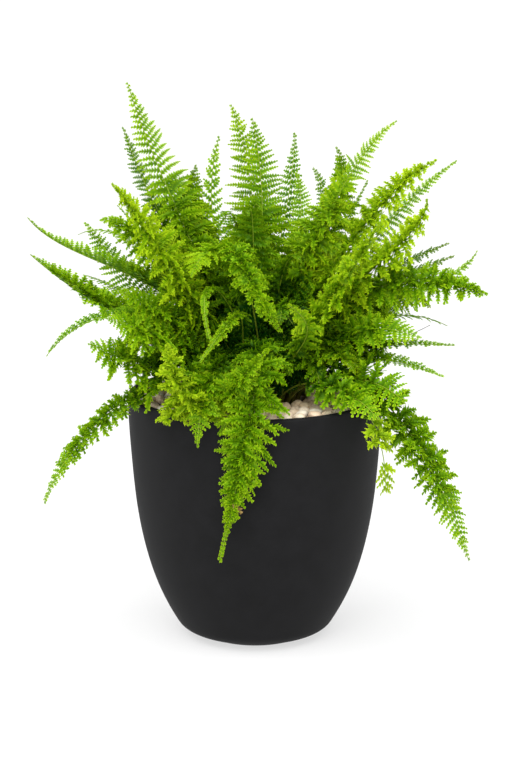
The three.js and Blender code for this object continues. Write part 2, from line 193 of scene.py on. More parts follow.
def tube_faces(rings, sides, closed=False):
    """Four-sided faces between the rings of a tube, and one over each end if it is closed."""
    faces = []
    for low in range(0, (rings - 1) * sides, sides):
        for i in range(sides):
            j = (i + 1) % sides
            faces.append((low + i, low + j, low + sides + j, low + sides + i))
    if closed:
        last = (rings - 1) * sides
        faces += [tuple(range(sides))[::-1], tuple(range(last, last + sides))]
    return faces


def turned(profile, sides, closed=False):
    """A profile of radius and height turned about +Z: its points ring by ring, and its faces."""
    turn = np.linspace(0, 2 * math.pi, sides, endpoint=False)
    points = np.stack([profile[:, :1] * np.cos(turn), profile[:, :1] * np.sin(turn),
                       np.repeat(profile[:, 1:], sides, 1)], 2).reshape(-1, 3)
    return points, tube_faces(len(profile), sides, closed)


shoulder = POT_HEIGHT - LIP_ROUND
pot_profile = np.concatenate([
    [(HUB_RADIUS, 0.0), (FOOT_RADII[0], 0.0)],
    cubic((FOOT_RADII[1], 0), *FOOT_PULLS, FOOT_TOP, 14),
    pot_wall(0, shoulder, 60)[1:],
    quarter((POT_RADIUS - LIP_ROUND, shoulder), LIP_ROUND, 0, 7)[1:],
    quarter((POT_RADIUS - POT_WALL + LIP_ROUND, shoulder), LIP_ROUND, 90, 7),
    pot_wall(POT_WALL, shoulder, 40)[::-1][1:],
    [(FLOOR_RADIUS, POT_FLOOR), (HUB_RADIUS, POT_FLOOR)],
])
pot_points, pot_faces = turned(pot_profile, POT_SIDES, closed=True)

# the rubbed-down wall: shallow dents from the hand, and a rim that wavers by half a millimetre
DENT = 0.35 * MM
RIM_DENT = 0.25 * MM
RIM_WAVER = 0.5 * MM
for point in pot_points:
    spot = Vector(point) * 16
    near_rim = min(1.0, max(0.0, point[2] / POT_HEIGHT - 0.8) * 5)
    dent = DENT * noise.noise(spot) + RIM_DENT * near_rim * noise.noise(spot * 2.3)
    if point[2] > 1 * MM:
        point[:2] *= 1 + (dent - DENT) / math.hypot(point[0], point[1])
        point[2] += near_rim * RIM_WAVER * (noise.noise(Vector((point[0], point[1], 3)) * 14) - 0.8)

MIX_INPUTS = (0, 6, 7)  # where a colour Mix node has its factor and its two colours
MIX_RESULT = 2


def mixed(tree, share, first, second, blend="MIX"):
    """One colour mixed into another by a share. Each is a node's output, or else a value or sRGB hex."""
    node = add_node(tree, "ShaderNodeMix", {"data_type": "RGBA", "blend_type": blend})
    for place, value in zip(MIX_INPUTS, (share, first, second)):
        if isinstance(value, bpy.types.NodeSocket):
            tree.links.new(value, node.inputs[place])
        else:
            node.inputs[place].default_value = linear(value) if isinstance(value, str) else value
    return node.outputs[MIX_RESULT]


FIBRE_CLAY = "#131314"
FIBRE_CLAY_WORN = "#232325"
GRIT = 0.9  # mm between the grains of the clay
PIN_HOLES = 3.6  # mm between the pin-holes
TROWEL = 26  # mm across a rubbed patch
fibre_clay, tree, output = new_material("fibre clay, pressed and stained black")
# matt and close to black, with a dusty bloom in patches, fine grit and pin-holes that break up the light
place = add_node(tree, "ShaderNodeTexCoord").outputs["Object"]
patches = add_node(tree, "ShaderNodeTexNoise", {"Scale": 1000 / TROWEL, "Detail": 5, "Roughness": 0.6},
                   {"Vector": place})
grit = add_node(tree, "ShaderNodeTexNoise", {"Scale": 1000 / GRIT, "Detail": 2}, {"Vector": place})
pores = add_node(tree, "ShaderNodeTexVoronoi", {"Scale": 1000 / PIN_HOLES}, {"Vector": place})
bloom = add_node(tree, "ShaderNodeMapRange",
                 {"From Min": 0.35, "From Max": 0.75, "To Min": 0.0, "To Max": 0.35},
                 {"Value": patches.outputs["Fac"]})
rough = add_node(tree, "ShaderNodeMapRange", {"To Min": 0.62, "To Max": 0.78},
                 {"Value": patches.outputs["Fac"]})
fine = add_node(tree, "ShaderNodeBump", {"Strength": 0.25, "Distance": 0.2 * MM},
                {"Height": grit.outputs["Fac"]})
holes = add_node(tree, "ShaderNodeMapRange", {"From Min": 0.0, "From Max": 0.16},
                 {"Value": pores.outputs["Distance"]})
pitted = add_node(tree, "ShaderNodeBump", {"Strength": 0.3, "Distance": 0.3 * MM},
                  {"Height": holes.outputs["Result"], "Normal": fine.outputs["Normal"]})
add_surface(tree, output, {"IOR": 1.5, "Specular IOR Level": 0.14},
            {"Base Color": mixed(tree, bloom.outputs["Result"], FIBRE_CLAY, FIBRE_CLAY_WORN),
             "Roughness": rough.outputs["Result"], "Normal": pitted.outputs["Normal"]})
planter = mesh_piece("planter", pot_points, pot_faces, [fibre_clay])
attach(planter, "root")
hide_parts("pot")

# --- The potting mix ----------------------------------------------------------------------------
# Peat, bark and coir, filled in up to a finger below the rim and left crumbly. It shows only in the
# chinks between pebbles and round the crown.
SOIL_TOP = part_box("soil")[1].z
CROWN_LOW, CROWN_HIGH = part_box("crown")
CROWN_RADIUS = CROWN_HIGH.x
CRUMB = 3.5  # mm
DAMP_PATCH = 21  # mm
potting_mix, tree, output = new_material("peat and bark potting mix")
# almost black where it is damp, with brown bark crumbs that catch a little light
place = add_node(tree, "ShaderNodeTexCoord").outputs["Object"]
crumbs = add_node(tree, "ShaderNodeTexVoronoi", {"Scale": 1000 / CRUMB}, {"Vector": place})
damp = add_node(tree, "ShaderNodeTexNoise", {"Scale": 1000 / DAMP_PATCH, "Detail": 4}, {"Vector": place})
lumps = add_node(tree, "ShaderNodeBump", {"Strength": 0.8, "Distance": 1.5 * MM},
                 {"Height": crumbs.outputs["Distance"]})
add_surface(tree, output, {"Roughness": 0.95, "IOR": 1.4},
            {"Base Color": mixed(tree, damp.outputs["Fac"], "#1f150e", "#4d3826"),
             "Normal": lumps.outputs["Normal"]})
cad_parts["soil"].data.materials.clear()
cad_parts["soil"].data.materials.append(potting_mix)

# loose crumbs lie on top, a bumpy skin from the crown to the pot's wall
CRUMB_RINGS = 36
CRUMB_SIDES = 150
CRUMB_LIFT = 3 * MM
CRUMB_BUMP, CRUMB_SWELL = 2.2 * MM, 1.5 * MM
crumb_radii = np.linspace(CROWN_RADIUS + 0.5 * MM, POT_RADIUS - POT_WALL - 1.5 * MM, CRUMB_RINGS)
crumb_line = np.stack([crumb_radii, np.full(CRUMB_RINGS, SOIL_TOP)], 1)
crumb_points, crumb_faces = turned(crumb_line, CRUMB_SIDES)
for point in crumb_points:
    small, broad = noise.noise(Vector(point) * 240), noise.noise(Vector(point) * 90)
    point[2] += CRUMB_LIFT + CRUMB_BUMP * small + CRUMB_SWELL * broad
soil_crumbs = mesh_piece("soil_crumbs", crumb_points, crumb_faces, [potting_mix])
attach(soil_crumbs, "root")

# --- The pebbles --------------------------------------------------------------------------------
# Tumbled river pebbles, cream to pinkish buff, 12 to 16 mm, poured on loose and heaped to the rim.
PEBBLE_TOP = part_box("pebbles")[1].z
PEBBLE_SIZE = 16.5 * MM
PEBBLE_LAYERS = (15 * MM, 6 * MM)  # how deep the middles of the lower and the upper stones lie
RING_PITCH, STONE_PITCH = 0.9, 1.06  # between rings, and between the stones of a ring, in stone sizes
PEBBLE_FLATS = 9
FLAT_ROUNDING = 7  # the higher, the sharper the edges between the flats
PEBBLE_TONES = ["#f7e6cc", "#f0d6b8", "#f9e2c8", "#e8d2b4", "#f2d8c0", "#fbf0dc", "#e2caa6", "#f4d8ba"]
shake = random.Random(5)


def pebble_ball(splits):
    """A ball of triangles: an icosahedron split a number of times."""
    ball = bmesh.new()
    bmesh.ops.create_icosphere(ball, subdivisions=splits, radius=1)
    points = np.array([v.co for v in ball.verts])
    faces = np.array([[v.index for v in f.verts] for f in ball.faces])
    ball.free()
    return points, faces


# rings of stones from the wall inwards, the lower layer first, each stone nudged a little
nearest = CROWN_RADIUS + 4 * MM
furthest = POT_RADIUS - POT_WALL - 1.5 * MM
pebble_places = []
for layer, depth in enumerate(PEBBLE_LAYERS):
    radius = furthest - PEBBLE_SIZE * (0.45 + 0.25 * layer)
    while radius > nearest + PEBBLE_SIZE * 0.3:
        count = int(2 * math.pi * radius / (PEBBLE_SIZE * STONE_PITCH))
        start = shake.random() * 6.3
        for i in range(count):
            turn = start + (i + 0.25 * (shake.random() - 0.5)) * 2 * math.pi / count
            reach = radius + 1.6 * MM * (shake.random() - 0.5)
            height = PEBBLE_TOP - depth + 1.8 * MM * (shake.random() - 0.5)
            pebble_places.append((reach * math.cos(turn), reach * math.sin(turn), height, turn))
        radius -= PEBBLE_SIZE * RING_PITCH

ball_points, ball_faces = pebble_ball(3)
pebble_points, pebble_faces, pebble_tints = [], [], []
for x, y, z, turn in pebble_places:
    half = PEBBLE_SIZE / 2 * np.array([1.12 - 0.2 * shake.random(), 0.92 + 0.12 * shake.random(),
                                       0.72 + 0.16 * shake.random()])
    angle = turn * 3 + shake.random() * 50
    # a few worn flats, run into each other by rounded edges
    flats = np.array([[shake.gauss(0, 1) for _ in range(3)] for _ in range(PEBBLE_FLATS)])
    flats /= np.linalg.norm(flats, axis=1)[:, None] * np.array([[shake.uniform(0.78, 1.0)] for _ in flats])
    press = np.concatenate([np.maximum(0, ball_points @ flats.T), np.full((len(ball_points), 1), 0.92)], 1)
    press = (press ** FLAT_ROUNDING).sum(axis=1) ** (1 / FLAT_ROUNDING)
    stone = ball_points / press[:, None] * half
    tip_over = Vector((shake.uniform(-0.4, 0.4), shake.uniform(-0.4, 0.4), 1))
    tilt = np.array(tip_over.to_track_quat("Z", "Y").to_matrix())
    cos, sin = math.cos(angle), math.sin(angle)
    spin = np.array([[cos, -sin, 0], [sin, cos, 0], [0, 0, 1]])
    stone = stone @ spin.T @ tilt.T + (x, y, z)
    stone[:, 2] = np.minimum(stone[:, 2], PEBBLE_TOP + 1 * MM)
    stone[:, :2] *= np.minimum(1, furthest / np.hypot(stone[:, 0], stone[:, 1]))[:, None]
    pebble_faces.append(ball_faces + len(pebble_points) * len(ball_points))
    pebble_points.append(stone)
    # painted shade: the lower half of each stone is darker, where shade falls between the stones
    painted_shade_below = np.clip(0.62 + 0.9 * ball_points[:, 2:], 0.22, 1)
    own_tone = np.array(linear(shake.choice(PEBBLE_TONES)))
    pebble_tints.append(own_tone * np.concatenate([painted_shade_below, painted_shade_below, painted_shade_below, np.ones_like(painted_shade_below)], 1))

VEIN = 9  # mm between veins and stains
SPECK = 0.8  # mm
river_stone, tree, output = new_material("tumbled river stone")
# chalky and smooth, each stone of its own tone with painted shade on its lower half, with rusty stains in
# the hollows and faint speckles
place = add_node(tree, "ShaderNodeTexCoord").outputs["Object"]
own = add_node(tree, "ShaderNodeAttribute", {"attribute_name": "tint"})
stains = add_node(tree, "ShaderNodeTexNoise", {"Scale": 1000 / VEIN, "Detail": 6, "Roughness": 0.65},
                  {"Vector": place})
speckle = add_node(tree, "ShaderNodeTexNoise", {"Scale": 1000 / SPECK, "Detail": 2}, {"Vector": place})
rust = add_node(tree, "ShaderNodeMapRange", {"From Min": 0.52, "From Max": 0.72, "To Max": 0.55},
                {"Value": stains.outputs["Fac"]})
grains = add_node(tree, "ShaderNodeMapRange",
                  {"From Min": 0.3, "From Max": 0.7, "To Min": 0.9, "To Max": 1.06},
                  {"Value": speckle.outputs["Fac"]})
skin = add_node(tree, "ShaderNodeBump", {"Strength": 0.3, "Distance": 0.3 * MM},
                {"Height": speckle.outputs["Fac"]})
stained = mixed(tree, rust.outputs["Result"], own.outputs["Color"], "#a67b4e")
add_surface(tree, output, {"Roughness": 0.6, "IOR": 1.52},
            {"Base Color": mixed(tree, 1.0, stained, grains.outputs["Result"], "MULTIPLY"),
             "Normal": skin.outputs["Normal"]})
pebble_dressing = mesh_piece("pebble_dressing", np.concatenate(pebble_points),
                             np.concatenate(pebble_faces).tolist(), [river_stone])
# the tint is each stone's own tone, darkened by the painted shade of its lower half
tints = pebble_dressing.data.attributes.new("tint", "FLOAT_COLOR", "POINT")
tints.data.foreach_set("color", np.concatenate(pebble_tints).ravel())
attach(pebble_dressing, "root")
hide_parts("pebbles")

# --- The crown ----------------------------------------------------------------------------------
# The fern's rootstock, a low clump of crowded stem bases at the soil, clothed in dry brown scales.
CROWN_TOP = CROWN_HIGH.z / MM
CROWN_FALL = 0.0055  # the crown drops by this times the radius squared, in millimetres
CROWN_RINGS = 26
CROWN_SIDES = 90
CROWN_SINK, CROWN_SWELL, CROWN_BUMP = -1.6 * MM, 2.2 * MM, 1 * MM
SCALE_SIZE = 4  # mm


def crown_height(radius):
    """The crown's height at a distance from its middle, in millimetres."""
    return CROWN_TOP - CROWN_FALL * radius * radius


crown_profile = np.array([(CROWN_RADIUS, CROWN_LOW.z)] + [
    (r * MM, crown_height(r) * MM) for r in np.linspace(CROWN_RADIUS / MM, 1, CROWN_RINGS)])
crown_points, crown_faces = turned(crown_profile, CROWN_SIDES, closed=True)
for point in crown_points:
    if point[2] > CROWN_LOW.z + 1 * MM:
        broad, small = noise.noise(Vector(point) * 160), noise.noise(Vector(point) * 420)
        point[2] += CROWN_SINK + CROWN_SWELL * broad + CROWN_BUMP * small
rootstock, tree, output = new_material("scaly fern rootstock")
# fibrous and dull, red-brown scale tips over near-black gaps
place = add_node(tree, "ShaderNodeTexCoord").outputs["Object"]
scales = add_node(tree, "ShaderNodeTexVoronoi", {"Scale": 1000 / SCALE_SIZE}, {"Vector": place})
ridges = add_node(tree, "ShaderNodeBump", {"Strength": 0.7, "Distance": 1 * MM},
                  {"Height": scales.outputs["Distance"]})
add_surface(tree, output, {"Roughness": 0.9, "IOR": 1.45},
            {"Base Color": mixed(tree, scales.outputs["Distance"], "#6b4a2c", "#1c120a"),
             "Normal": ridges.outputs["Normal"]})
crown_clump = mesh_piece("crown_clump", crown_points, crown_faces, [rootstock])
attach(crown_clump, "root")
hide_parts("crown")

# --- The fronds ---------------------------------------------------------------------------------
# Each frond is a wiry stem with two rows of pinnae, and each pinna is cut into two rows of toothed,
# crisped pinnules. Young tips are flat and yellow-green, older bases deep green and ruffled, with painted
# shade deep in the clump.
# Each row: name, the tip's X, Y and Z, how far the stem rises before it leans, the height that it heads
# for, how far along that is, its sideways bow, half the width of the blade, its twist in degrees, its
# colour, and how far up it is ruffled: at 0 not much above its foot, from about 1 on to the tip.
FRONDS = [
    # towards the viewer
    ["front_hanging", -40, -175, 136, 110, 440, 0.8, 65, 46, 0, "mid", 1.1],
    ["front_left_hanging", -65, -165, 266, 90, 380, 0.8, 0, 34, 0, "mid", 0.9],
    ["front_lime", -97, -155, 381, 20, 292, 1.25, 35, 32, 180, "lime", 1.35],
    ["front_lime_low", -102, -148, 288, 25, 312, 0.8, 0, 30, 0, "lime", 1.35],
    ["front_small", -62, -170, 364, 130, 440, 0.6, 45, 12, 0, "fresh", 1.0],
    ["front_arching", 28, -150, 394, 190, 560, 0.6, -95, 24, 0, "mid", 1.3],
    ["front_curled", 37, -160, 426, 60, 385, 0.9, 60, 20, 0, "fresh", 1.3],
    ["front_right_low", 168, -150, 312, 50, 338, 0.65, 25, 42, 45, "mid", 0.8],
    ["front_right_tip", 138, -160, 296, 50, 335, 0.6, 10, 28, 35, "mid", 0.9],
    ["front_right_lime", 147, -152, 211, 60, 350, 1.0, 0, 26, 0, "lime", 1.0],
    ["front_left_bright", -72, -125, 452, 150, 520, 0.6, 0, 44, 0, "mid", 1.0],
    ["front_left", -152, -130, 437, 60, 405, 0.6, 0, 42, -45, "mid", 1.0],
    ["front_left_low", -165, -150, 410, 50, 380, 0.6, 0, 42, -45, "mid", 1.0],
    ["front_right", 139, -140, 516, 60, 420, 0.6, 0, 38, 35, "fresh", 1.15],
    # on the left
    ["left_hanging", -240, -120, 190, 75, 295, 0.8, 0, 18, -40, "mid", 0.9],
    ["left_drooping", -237, -90, 354, 100, 440, 0.7, 0, 17, -20, "mid", 0.6],
    ["left_low", -187, -120, 375, 35, 350, 0.8, 0, 40, -45, "mid", 1.0],
    ["left_bright", -158, -140, 559, 70, 505, 0.75, 0, 48, -45, "fresh", 1.2],
    ["left_long", -256, -60, 466, 60, 365, 0.6, 0, 30, -30, "mid", 1.0],
    ["left_arched", -178, -20, 500, 90, 505, 0.75, 0, 34, -45, "mid", 1.15],
    ["left_long_high", -265, 20, 496, 155, 430, 0.8, 0, 28, -10, "mid", 0.6],
    ["left_tall", -148, 40, 651, 100, 530, 0.75, 0, 46, -55, "fresh", 0.65],
    ["left_tall_back", -155, 70, 595, 110, 460, 0.65, 0, 30, -15, "dark", 0.7],
    ["left_comb", -200, 60, 484, 50, 410, 0.7, 0, 34, -40, "mid", 0.4],
    ["left_back_low", -206, 100, 414, 50, 405, 0.7, 0, 26, 0, "dark", 0.4],
    ["left_back_thin", -164, 90, 500, 110, 440, 0.6, 0, 20, 0, "dark", 0.1],
    ["left_inner", -69, 70, 550, 70, 460, 1.5, 0, 36, -20, "mid", 1.05],
    # on the right
    ["right_hanging", 245, -110, 118, 90, 320, 0.68, 0, 34, 40, "mid", 0.85],
    ["right_low", 213, -90, 330, 70, 355, 0.6, 0, 16, 20, "mid", 0.6],
    ["right_lower", 186, -110, 379, 90, 400, 0.6, 0, 36, 40, "mid", 0.9],
    ["right_straight", 228, -60, 360, 70, 362, 0.6, 0, 15, 20, "mid", 0.6],
    ["right_comb", 202, -37, 400, 90, 458, 0.78, 0, 54, 80, "fresh", 0.1],
    ["right_long", 264, -70, 421, 115, 460, 0.55, 0, 40, 30, "mid", 1.4],
    ["right_upturned", 256, -20, 463, 125, 400, 0.85, 0, 32, 20, "mid", 0.6],
    ["right_curled", 195, -70, 531, 130, 475, 1.0, 0, 36, 35, "fresh", 1.3],
    ["right_tall", 162, -20, 613, 90, 585, 0.65, 0, 42, 35, "fresh", 0.75],
    ["right_bright", 207, -30, 569, 80, 545, 0.65, 0, 33, 30, "fresh", 1.3],
    ["right_arched", 236, 50, 558, 70, 505, 0.62, 0, 33, 25, "mid", 0.2],
    ["right_back_high", 232, 110, 451, 110, 420, 0.6, 0, 32, -50, "dark", 0.3],
    ["right_back", 237, 80, 441, 100, 410, 0.6, 0, 30, -50, "dark", 0.4],
    ["right_back_thin", 135, 120, 525, 110, 430, 0.6, 0, 24, 0, "dark", 0.1],
    ["right_inner", 96, 60, 573, 120, 480, 1.4, 0, 34, 20, "mid", 1.05],
    # tall and upright, in the middle and at the back
    ["middle_tall", -3, 24, 611, 140, 480, 0.9, -25, 42, 10, "mid", 0.68],
    ["back_tall", -28, 60, 623, 140, 500, 0.75, -40, 42, 0, "fresh", 0.55],
    ["back_left", -43, 120, 577, 110, 460, 0.62, 50, 32, 0, "mid", 0.3],
    ["back_thin", 48, 150, 578, 120, 470, 0.6, -15, 29, 0, "dark", 0.3],
    ["back_right", 50, 110, 536, 120, 440, 0.6, -45, 28, 0, "mid", 0.7],
    ["back_right_low", 69, 100, 544, 110, 470, 0.9, -70, 26, 0, "dark", 0.7],
]
REAR_FRONDS = 8  # the far side, filled by a rule
REAR_TIPS = ((235, 360), (215, 470), (240, 300))  # how far out and how high their tips lie, by turns
for i in range(REAR_FRONDS):
    turn = math.radians(14 + 152 * i / (REAR_FRONDS - 1))
    reach, height = REAR_TIPS[i % 3]
    FRONDS.append([f"rear_{i + 1}", reach * math.cos(turn), reach * math.sin(turn), height, 70, height + 40,
                   0.62, 0, 28, 0, "mid" if i % 2 else "dark", 0.6])

# Young fronds, too many and small for the frame, fill the clump between the long ones. Each row: how
# many, the bearings that they lie between in degrees (0 right, 90 back), the least and most that their
# tips reach out and up, and how far up they are ruffled.
YOUNG_FRONDS = [
    (12, 165, 215, 100, 170, 318, 385, 1.0),  # the left, hanging to the rim
    (8, 130, 190, 90, 160, 390, 480, 1.0),
    (12, 320, 375, 100, 170, 318, 385, 1.0),  # the right
    (8, 355, 410, 90, 160, 390, 480, 1.0),
    (8, 185, 225, 95, 150, 318, 372, 1.0),  # front left
    (8, 205, 245, 75, 120, 318, 385, 1.0),
    (4, 238, 258, 156, 166, 282, 305, 1.0),  # front left, over the rim
    (8, 300, 345, 100, 155, 320, 362, 1.0),
    (12, 275, 335, 60, 115, 325, 400, 1.0),  # front right, clear of the pebbles
    (6, 225, 315, 30, 60, 380, 440, 1.0),
    (13, 190, 350, 30, 65, 318, 375, 1.0),  # low in the middle, in the dark tones as painted shade
    (8, 0, 360, 30, 90, 430, 520, 1.0),  # the heart
    (8, 20, 160, 90, 180, 330, 430, 0.4),  # the far side
    (9, 160, 200, 125, 165, 312, 352, 0.15),  # the left, low and lacy
    (5, 340, 375, 125, 160, 330, 360, 0.15),  # the right, low and lacy
]
YOUNG_COLOURS = ["mid", "mid", "fresh", "dark"]
sprout = random.Random(3)
# the first leans out low and stands up in front of the clump, its face to the viewer
young = [["front_fan", 14, -165, 377, 25, 296, 1.1, -85, 28, 180, "mid", 1.35],
         ["front_thin", -50, -163, 387, 150, 480, 0.7, -45, 9, 0, "mid", 0.9]]
for many, start, end, near, far, lowest, highest, ruffle in YOUNG_FRONDS:
    for i in range(many):
        turn = math.radians(start + (end - start) * (i + sprout.uniform(0.1, 0.9)) / many)
        reach, height = sprout.uniform(near, far), sprout.uniform(lowest, highest)
        crest = height + (45 if reach < 155 else 75)
        bow, half, twist = sprout.uniform(-20, 20), sprout.uniform(28, 38), sprout.uniform(-30, 30)
        # young fronds near the middle always take the dark tones: painted shade
        colour = sprout.choice(YOUNG_COLOURS) if reach > 85 else "dark"
        young.append([f"young_{len(young)}", reach * math.cos(turn), reach * math.sin(turn), height, 70,
                      crest, 0.65, bow, half, twist, colour, ruffle])

# What sets a frond apart. tail: how soon its blade narrows to the tip. coarse: how far apart its pinnae
# stand. shade: how much paler they are. fold: how far both rows are folded up, and swept: how far they
# lean to the tip, in radians. sag: how far their ends hang, for their length. lopsided: how much shorter
# they are on one side and longer on the other. fallen: the spans that have lost them. withered: a span,
# and how many of those in it have dried.
USUAL = {"tail": 1, "coarse": 1, "shade": 0, "fold": 0, "swept": 0, "sag": 0.14, "lopsided": 0,
         "fallen": (), "withered": (0, 0, 0)}
HABITS = {
    "front_hanging": {"tail": 2.8, "withered": (0.6, 0.85, 0.03)},
    "front_left_hanging": {"tail": 1.6},
    "front_lime": {"coarse": 1.25},
    "front_small": {"shade": -0.14},
    "front_arching": {"shade": -0.04},
    "front_curled": {"coarse": 1.3},
    "front_right_low": {"coarse": 1.7},
    "front_right_tip": {"coarse": 1.6},
    "front_right_lime": {"tail": 0.4, "coarse": 1.9, "fallen": ((0.0, 0.66), (0.78, 0.87))},
    "front_left_bright": {"shade": 0.06},
    "front_right": {"coarse": 1.2},
    "front_fan": {"tail": 1.5, "coarse": 0.8},
    "front_thin": {"shade": -0.05},
    "left_hanging": {"tail": 1.2},
    "left_drooping": {"shade": -0.1, "fold": 0.4},
    "left_low": {"coarse": 1.2},
    "left_bright": {"shade": 0.12},
    "left_long": {"fold": 0.9},
    "left_long_high": {"tail": 1.2, "fold": 0.9},
    "left_tall": {"tail": 1.2, "coarse": 1.35, "shade": -0.06, "swept": 0.2, "sag": 0.32, "lopsided": 0.2},
    "right_hanging": {"tail": 1.2, "coarse": 1.2},
    "right_low": {"fold": 0.3},
    "right_lower": {"coarse": 1.25},
    "right_straight": {"fold": 0.3},
    "right_comb": {"coarse": 1.5, "swept": 0.7, "sag": 0.6},
    "right_curled": {"shade": 0.14},
    "right_tall": {"tail": 1.2},
    "right_bright": {"shade": 0.14},
    "middle_tall": {"coarse": 1.2},
    "back_tall": {"coarse": 1.2},
    "back_left": {"coarse": 1.6, "swept": 0.4, "sag": 0.05},
    "back_thin": {"coarse": 1.25},
}

FOOT_SPACING = 6.5  # mm between stems on the crown
FOOT_DEPTH = 12  # mm that a stem stands in its socket
FOOT_LIFT = 1.5
FOOT_NEAR, FOOT_SPREAD = 6, 30  # mm from the crown's middle to an upright stem, and more to a flat one
FLAT_LEAN = 1.6  # radians from upright, from which a stem counts as flat
SPREAD_ROUNDS = 60
STEM_HALF = (1.3, 0.4)  # half width of the stem at its foot and its tip
STEM_SIDES = 6
TWISTED_BY = 0.35  # the share of the stem along which a blade turns to its full twist


def stem_feet(rows):
    """Where each stem stands on the crown: towards its tip, flatter fronds further out, none too close."""
    feet = []
    for _, x, y, z, *_ in rows:
        lean = math.atan2(math.hypot(x, y), z - CROWN_TOP + 8)
        out = FOOT_NEAR + FOOT_SPREAD * min(1, lean / FLAT_LEAN)
        feet.append(np.array([x, y]) / math.hypot(x, y) * out)
    for _ in range(SPREAD_ROUNDS):
        for i, foot in enumerate(feet):
            for other in feet[i + 1:]:
                apart = other - foot
                gap = math.hypot(*apart)
                if gap < FOOT_SPACING:
                    push = apart / gap * (FOOT_SPACING - gap) / 2
                    foot -= push
                    other += push
    return feet


def stem_path(row, foot, count=160):
    """Even points along a stem, the directions ahead, to its side and up from its blade, and its length."""
    _, x, y, z, rise, crest, along, bow, _, twist, *_ = row
    start = np.array([foot[0], foot[1], crown_height(math.hypot(*foot)) + FOOT_LIFT])
    out = np.array([x, y, z]) - start
    out[2] = 0
    across = np.array([-out[1], out[0], 0]) / math.hypot(out[0], out[1])
    heading = start + along * out + bow * across
    heading[2] = crest
    line = cubic(start, start + 0.15 * out + (0, 0, rise), heading, (x, y, z), count)
    travel = np.concatenate([[0], np.cumsum(np.linalg.norm(np.diff(line, axis=0), axis=1))])
    even = np.linspace(0, 1, count)
    line = np.stack([np.interp(even, travel / travel[-1], line[:, k]) for k in range(3)], 1)
    ahead = np.gradient(line, axis=0)
    ahead /= np.linalg.norm(ahead, axis=1)[:, None]
    side = across - (ahead @ across)[:, None] * ahead
    side /= np.linalg.norm(side, axis=1)[:, None]
    up = np.cross(ahead, side)
    turn = (math.radians(twist) * np.minimum(1, even / TWISTED_BY))[:, None]
    side, up = np.cos(turn) * side + np.sin(turn) * up, np.cos(turn) * up - np.sin(turn) * side
    return line, ahead, side, up, travel[-1]


def stem_tube(line, side, up):
    """A stem's points ring by ring, from its socket in the crown to its tip, and each ring's share."""
    path = np.concatenate([[line[0] - (0, 0, FOOT_LIFT + FOOT_DEPTH - 0.5)], line[::4], line[-1:]])
    side, up = (np.concatenate([way[:1], way[::4], way[-1:]])[:, None] for way in (side, up))
    share = np.linspace(0, 1, len(path))
    thick = np.interp(share, (0, 1), STEM_HALF)[:, None, None]
    turn = np.linspace(0, 2 * math.pi, STEM_SIDES, endpoint=False)[None, :, None]
    return (path[:, None] + thick * (np.cos(turn) * side + np.sin(turn) * up)).reshape(-1, 3), share


PINNA_PITCH = 7.4  # mm from one pinna to the next at the foot of a blade
STAGGER = 0.3 * PINNA_PITCH  # the two rows stand by turns
MIDRIB_HALF = 0.4
# A pinnule's outline along the pinna (0 to 1) and outwards (0 to 1), with blunt teeth at its end. On a
# flat pinna it is cut to the midrib, on a ruffled one it is joined to the next. Triangles fan from the
# last point.
CUT = np.array([(0.0, 0.0), (0.03, 0.4), (0.12, 0.68), (0.32, 0.92), (0.62, 1.16), (0.74, 0.88),
                (0.86, 0.6), (0.95, 0.38), (1.0, 0.0), (0.5, 0.45)])
JOINED = np.array([(0.0, 0.0), (0.01, 0.46), (0.08, 0.8), (0.28, 0.72), (0.56, 1.2), (0.7, 0.76),
                   (0.88, 0.74), (0.97, 0.46), (1.0, 0.0), (0.5, 0.45)])
HUB = len(CUT) - 1
PINNULE_FAN = np.array([(HUB, i, (i + 1) % HUB) for i in range(HUB)])
# each row of pinnules on a pinna: its side, the angle it stands up at, and its size
FLAT = ((1, 0.08, 1.0), (-1, 0.08, 1.0))
RUFFLED = ((1, -0.05, 1.0), (-1, -0.05, 1.0), (1, 1.05, 0.62), (-1, 1.05, 0.62))


def puffiness(share, ruffle):
    """How ruffled a blade is at a share of its length: 1 low down, and 0 near the tip."""
    return min(1, max(0, (0.28 + 0.65 * ruffle - share) / 0.18))


def pinna_room(share, coarse, puff):
    """How much of the stem one pinna has: less towards the tip, more where the blade is ruffled."""
    return PINNA_PITCH * coarse * (1 - 0.5 * share ** 3) * (1 + 0.25 * puff)


def half_blade(at, bare, half, ruffle, tail):
    """Half the width of a blade at a share of the way along the stem; a ruffled blade ends more bluntly."""
    along = min(1, max(0, (at - bare) / (1 - bare)))
    return half * min(1, 3.5 * along) ** 0.8 * (1 - along ** (1.7 + 2.3 * ruffle)) ** tail


def pinna_width(length, room, puff):
    """How far pinnules reach from the midrib: flat pinnae leave gaps, ruffled ones fill their room."""
    flat = min(0.46 * room, 3.3)
    return min(0.3 * length + 0.9, flat + puff * (0.8 * room - flat))


